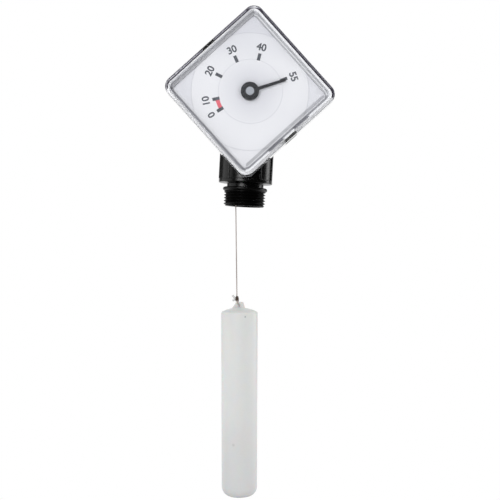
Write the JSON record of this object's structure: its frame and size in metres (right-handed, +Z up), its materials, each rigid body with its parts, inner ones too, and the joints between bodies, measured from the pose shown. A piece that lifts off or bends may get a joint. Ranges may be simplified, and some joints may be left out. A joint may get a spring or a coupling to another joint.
{
  "type": "tank level gauge",
  "caption": "Dial head on a ribbed threaded connector, with a spring reel inside whose cord carries a long hollow float; the pointer shows the level in a tank.",
  "frame": {"origin": "on the axis of the connecting thread, at the thread's upper end, where its sealing ring sits", "axes": "+Z up the thread's axis towards the dial head, -Y the way the dial faces, +X to the right of the dial"},
  "size_m": [0.1292, 0.0676, 0.384],
  "materials": {
    "black_plastic": "semi-gloss moulded black",
    "seal_rubber": "smooth black rubber",
    "white_plastic": "smooth white moulding",
    "clear_plastic": "clear and glossy",
    "dial_white": "satin white",
    "zinc_steel": "zinc plated",
    "plate_brass": "plain brass sheet",
    "arbor_steel": "ground steel",
    "spring_steel": "blued spring steel",
    "gear_plastic": "natural white moulding",
    "pointer_black": "satin black",
    "cap_grey": "satin grey",
    "cord_braid": "thin braided line",
    "knot_braid": "knotted line",
    "float_plastic": "translucent natural moulding"
  },
  "bodies": {
    "head": {"threaded_connector": "black_plastic", "sealing_ring": "seal_rubber", "rear_housing": "black_plastic", "dial_tray": "white_plastic", "clear_cover": "clear_plastic", "dial_plate": "dial_white", "tray_screws": "zinc_steel", "rear_movement_plate": "plate_brass", "front_movement_plate": "plate_brass", "movement_pillars": "plate_brass", "rear_plate_screws": "zinc_steel", "front_plate_screws": "zinc_steel", "drum_arbor": "arbor_steel"},
    "drum": {"cord_drum": "gear_plastic", "drum_cap": "gear_plastic", "mainspring": "spring_steel", "cord_winding": "cord_braid"},
    "idler": {"idler_wheel": "gear_plastic", "idler_pinion": "gear_plastic", "idler_arbor": "arbor_steel"},
    "pointer": {"pointer": "pointer_black", "pointer_cap": "cap_grey", "pointer_arbor": "arbor_steel", "pointer_wheel": "gear_plastic"},
    "cord": {"float_cord": "cord_braid"},
    "float": {"float": "float_plastic", "cord_knot": "knot_braid"}
  },
  "joints": [
    {"name": "float_drop", "type": "slide", "parent": "cord", "child": "float", "axis": [0.0664, 0, -0.9978], "range_m": [0, 0.49032], "stiffness_N_per_m": 0.12, "springref_m": -2, "deforming": ["float_cord"]},
    {"name": "cord_swing", "type": "hinge", "parent": "head", "child": "cord", "pos_m": [-0.01242, 0, 0.07367], "axis": [0, -1, 0], "range_deg": [-3.85, 12.25]},
    {"name": "drum_spin", "type": "hinge", "parent": "head", "child": "drum", "pos_m": [0, 0, 0.0745], "axis": [0, -1, 0], "range_deg": [0, 2257]},
    {"name": "idler_spin", "type": "hinge", "parent": "head", "child": "idler", "pos_m": [0.01377, 0, 0.08245], "axis": [0, -1, 0], "range_deg": [-661, 0]},
    {"name": "pointer_spin", "type": "hinge", "parent": "head", "child": "pointer", "pos_m": [0, 0, 0.0745], "axis": [0, -1, 0], "range_deg": [0, 193.3]}
  ],
  "couplings": [
    {"joint": "drum_spin", "follows": "float_drop", "rad_per_m": 80.321},
    {"joint": "idler_spin", "follows": "float_drop", "rad_per_m": -23.509},
    {"joint": "pointer_spin", "follows": "float_drop", "rad_per_m": 6.8806}
  ]
}
